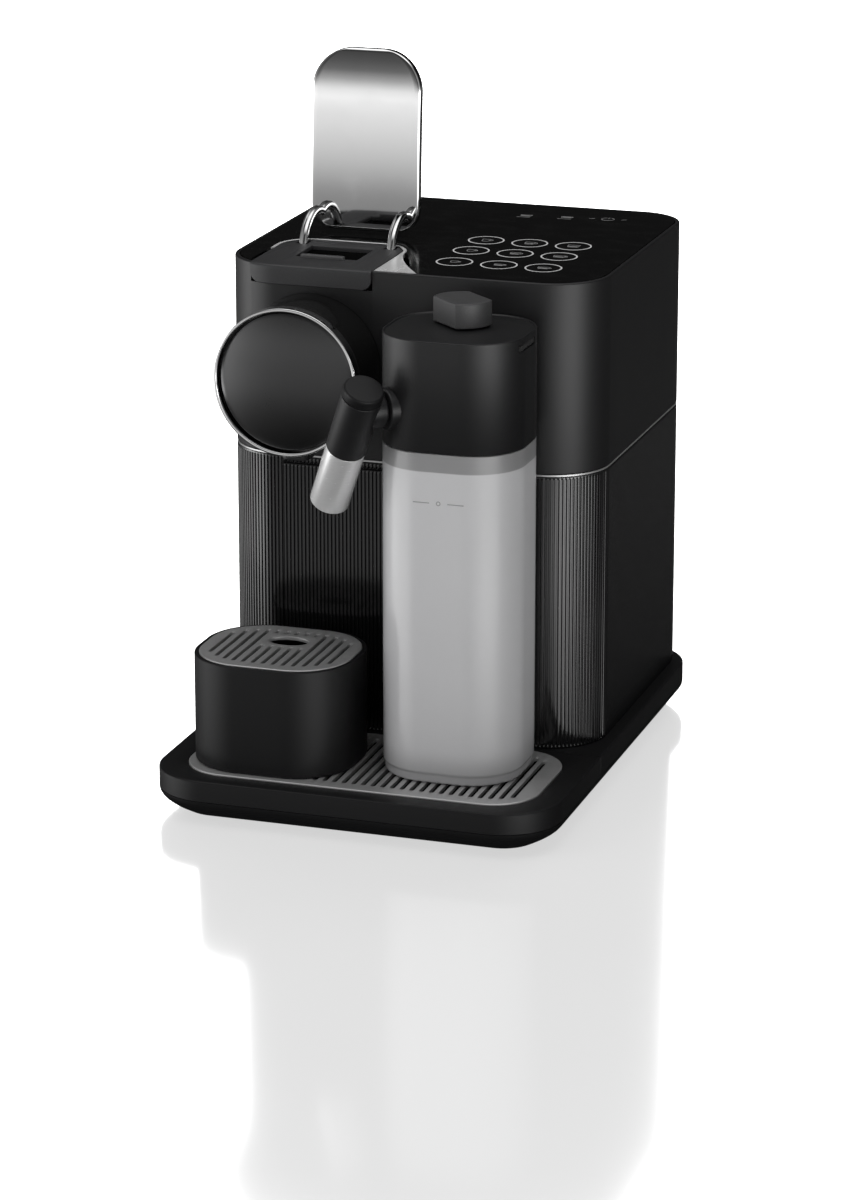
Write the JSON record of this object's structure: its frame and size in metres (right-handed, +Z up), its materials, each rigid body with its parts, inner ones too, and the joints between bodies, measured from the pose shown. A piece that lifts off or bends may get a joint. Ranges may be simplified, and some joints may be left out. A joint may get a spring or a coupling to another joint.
{
  "type": "pod coffee machine",
  "caption": "Capsule coffee machine with a lifting lever over the capsule slot, a round outlet, a raised cup support on a drip tray and a clip-on milk frothing jug with a tilting spout.",
  "frame": {"origin": "bottom centre of the whole machine's box, on the surface it stands on", "axes": "+X to the machine's right-hand side seen from the front, -Y out of the front, +Z up"},
  "size_m": [0.204, 0.367, 0.3505],
  "materials": {
    "satin_black": "satin moulded plastic with a very fine texture",
    "ribbed_black": "gloss black with fine upright ribs",
    "gloss_black": "gloss",
    "touch_panel": "polished black panel with pale printed key rings",
    "faceplate_black": "satin disc",
    "lid_black": "satin moulded plastic",
    "head_grey": "dark grey satin",
    "chrome": "mirror polish",
    "steel": "brushed stainless steel",
    "frosted_plastic": "frosted translucent",
    "smoked_plastic": "smoked transparent",
    "rubber": "soft black",
    "silicone": "translucent grey silicone",
    "white_plastic": "moulded",
    "brass": "machined",
    "circuit_board": "solder mask",
    "aluminium": "cast"
  },
  "bodies": {
    "root": {"base_frame": "satin_black", "foot_front_left": "rubber", "foot_front_right": "rubber", "foot_rear_left": "rubber", "foot_rear_right": "rubber", "lower_shell": "ribbed_black", "waist_trim": "steel", "upper_housing": "satin_black", "rear_cover": "satin_black", "control_panel": "touch_panel", "control_board": "circuit_board", "head_cover": "head_grey", "slot_lip": "chrome", "head_trim": "chrome", "outlet_drum": "gloss_black", "faceplate": "faceplate_black", "faceplate_ring": "chrome", "coffee_nozzle": "satin_black", "brew_frame_left": "steel", "brew_frame_right": "steel", "capsule_cage": "aluminium", "capsule_chute": "gloss_black", "gear_axle": "steel", "tank_socket": "white_plastic", "pump": "white_plastic", "pump_mount": "rubber", "thermoblock": "aluminium", "flow_meter": "white_plastic", "water_hose": "silicone", "power_board": "circuit_board", "mains_gland": "rubber", "steam_connector": "white_plastic"},
    "tray_unit": {"drip_tray": "satin_black", "drip_grid": "steel", "used_capsule_container": "ribbed_black"},
    "cup_stand": {"cup_support": "satin_black"},
    "cup_stand_grid": {"cup_support_grid": "steel"},
    "milk_jug": {"milk_container": "frosted_plastic"},
    "milk_head": {"milk_lid": "lid_black", "lid_seal": "silicone", "suction_pipe": "white_plastic"},
    "lid_release": {"lid_release_button": "rubber"},
    "froth_control": {"froth_knob": "lid_black"},
    "milk_spout": {"spout_body": "lid_black", "spout_sleeve": "steel", "spout_cap": "gloss_black"},
    "lever": {"lever_plate": "chrome", "lever_arm_left": "chrome", "lever_arm_right": "chrome", "lever_shaft": "steel", "lever_gear": "brass"},
    "gear": {"drive_gear": "brass"},
    "piston": {"brew_piston": "brass"},
    "tank": {"water_tank": "smoked_plastic", "tank_valve": "white_plastic"},
    "tank_cover": {"tank_lid": "satin_black"}
  },
  "joints": [
    {"name": "lever_hinge", "type": "hinge", "parent": "root", "child": "lever", "pos_m": [-0.047, -0.016, 0.251], "axis": [1, 0, 0], "range_deg": [0, 90]},
    {"name": "gear_turn", "type": "hinge", "parent": "root", "child": "gear", "pos_m": [-0.047, -0.016, 0.233], "axis": [1, 0, 0], "range_deg": [-90, 0]},
    {"name": "piston_slide", "type": "slide", "parent": "root", "child": "piston", "axis": [0, -1, 0], "range_m": [0, 0.0227]},
    {"name": "tray_slide", "type": "slide", "parent": "root", "child": "tray_unit", "axis": [0, -1, 0], "range_m": [0, 0.13]},
    {"name": "cup_stand_lift", "type": "slide", "parent": "tray_unit", "child": "cup_stand", "axis": [0, 0, 1], "range_m": [0, 0.05]},
    {"name": "cup_grid_lift", "type": "slide", "parent": "cup_stand", "child": "cup_stand_grid", "axis": [0, 0, 1], "range_m": [0, 0.03]},
    {"name": "milk_unit_pull", "type": "slide", "parent": "tray_unit", "child": "milk_jug", "axis": [0, -1, 0], "range_m": [0, 0.08]},
    {"name": "milk_lid_lift", "type": "slide", "parent": "milk_jug", "child": "milk_head", "axis": [0, 0, 1], "range_m": [0, 0.165]},
    {"name": "lid_release_press", "type": "slide", "parent": "milk_head", "child": "lid_release", "axis": [-1, 0, 0], "range_m": [0, 0.002], "stiffness_N_per_m": 300},
    {"name": "froth_knob_turn", "type": "hinge", "parent": "milk_head", "child": "froth_control", "pos_m": [0.038, -0.1122, 0.2476], "axis": [0, 0, 1], "range_deg": [-60, 60]},
    {"name": "spout_swing", "type": "hinge", "parent": "milk_head", "child": "milk_spout", "pos_m": [0.0008, -0.1577, 0.206], "axis": [-0.7071, -0.7071, 0], "range_deg": [-10, 40]},
    {"name": "tank_lift", "type": "slide", "parent": "root", "child": "tank", "axis": [0, 0, 1], "range_m": [0, 0.15]},
    {"name": "tank_lid_hinge", "type": "hinge", "parent": "tank", "child": "tank_cover", "pos_m": [0, 0.1835, 0.2263], "axis": [-1, 0, 0], "range_deg": [0, 95]}
  ],
  "couplings": [
    {"joint": "gear_turn", "follows": "lever_hinge", "ratio": -1},
    {"joint": "piston_slide", "follows": "lever_hinge", "m_per_rad": 0.0144}
  ]
}
